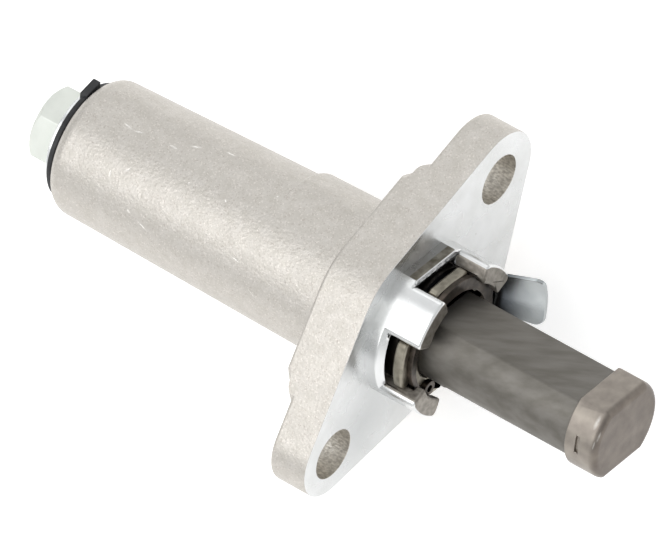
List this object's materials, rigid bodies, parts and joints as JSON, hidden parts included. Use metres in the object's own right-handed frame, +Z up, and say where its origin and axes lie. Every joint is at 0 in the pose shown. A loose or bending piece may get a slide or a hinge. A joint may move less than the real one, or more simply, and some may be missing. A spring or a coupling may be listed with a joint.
{
  "type": "timing chain tensioner",
  "caption": "Screw-type timing chain tensioner: cast housing with a two-ear flange, lugged spigot, spring-turned screw and sliding plunger.",
  "frame": {"origin": "plunger axis at the machined face of the flange, midway between the two bolt holes", "axes": "+X along the plunger's axis, out of the engine side of the flange; +Y through the two bolt holes, towards the larger ear; +Z up, towards the short side of the flange"},
  "size_m": [0.0911, 0.0532, 0.0326],
  "materials": {
    "cast_aluminium": "die cast, lightly blasted, machined front face",
    "zinc_steel": "pale zinc plating",
    "bright_steel": "bright",
    "black_rubber": "matte moulded",
    "dark_steel": "dark phosphate coating",
    "spring_steel": "drawn wire",
    "screw_steel": "hardened and turned",
    "plunger_steel": "dark ground steel with fine streaks",
    "cap_steel": "pressed, satin",
    "tongue_steel": "bright rolled sheet",
    "guide_steel": "olive-tan chromate plating",
    "clip_steel": "oiled brown-black spring steel"
  },
  "bodies": {
    "root": {"housing": "cast_aluminium", "guide_plate": "guide_steel", "circlip": "clip_steel", "tongue_plate": "tongue_steel", "spring_sleeve": "dark_steel", "thrust_seat": "bright_steel", "torsion_spring": "spring_steel", "sealing_bolt": "zinc_steel", "bolt_washer": "bright_steel", "bolt_seal": "black_rubber"},
    "plunger": {"plunger": "plunger_steel", "plunger_cap": "cap_steel"},
    "screw": {"lifter_screw": "screw_steel"}
  },
  "joints": [
    {"name": "plunger_slide", "type": "slide", "parent": "root", "child": "plunger", "axis": [1, 0, 0], "range_m": [-0.022, 0], "stiffness_N_per_m": 300, "springref_m": 0.06},
    {"name": "screw_spin", "type": "hinge", "parent": "root", "child": "screw", "pos_m": [0, 0, 0], "axis": [1, 0, 0], "range_deg": [0, 1590], "deforming": ["torsion_spring"]}
  ],
  "couplings": [
    {"joint": "screw_spin", "follows": "plunger_slide", "rad_per_m": -1256.6}
  ]
}
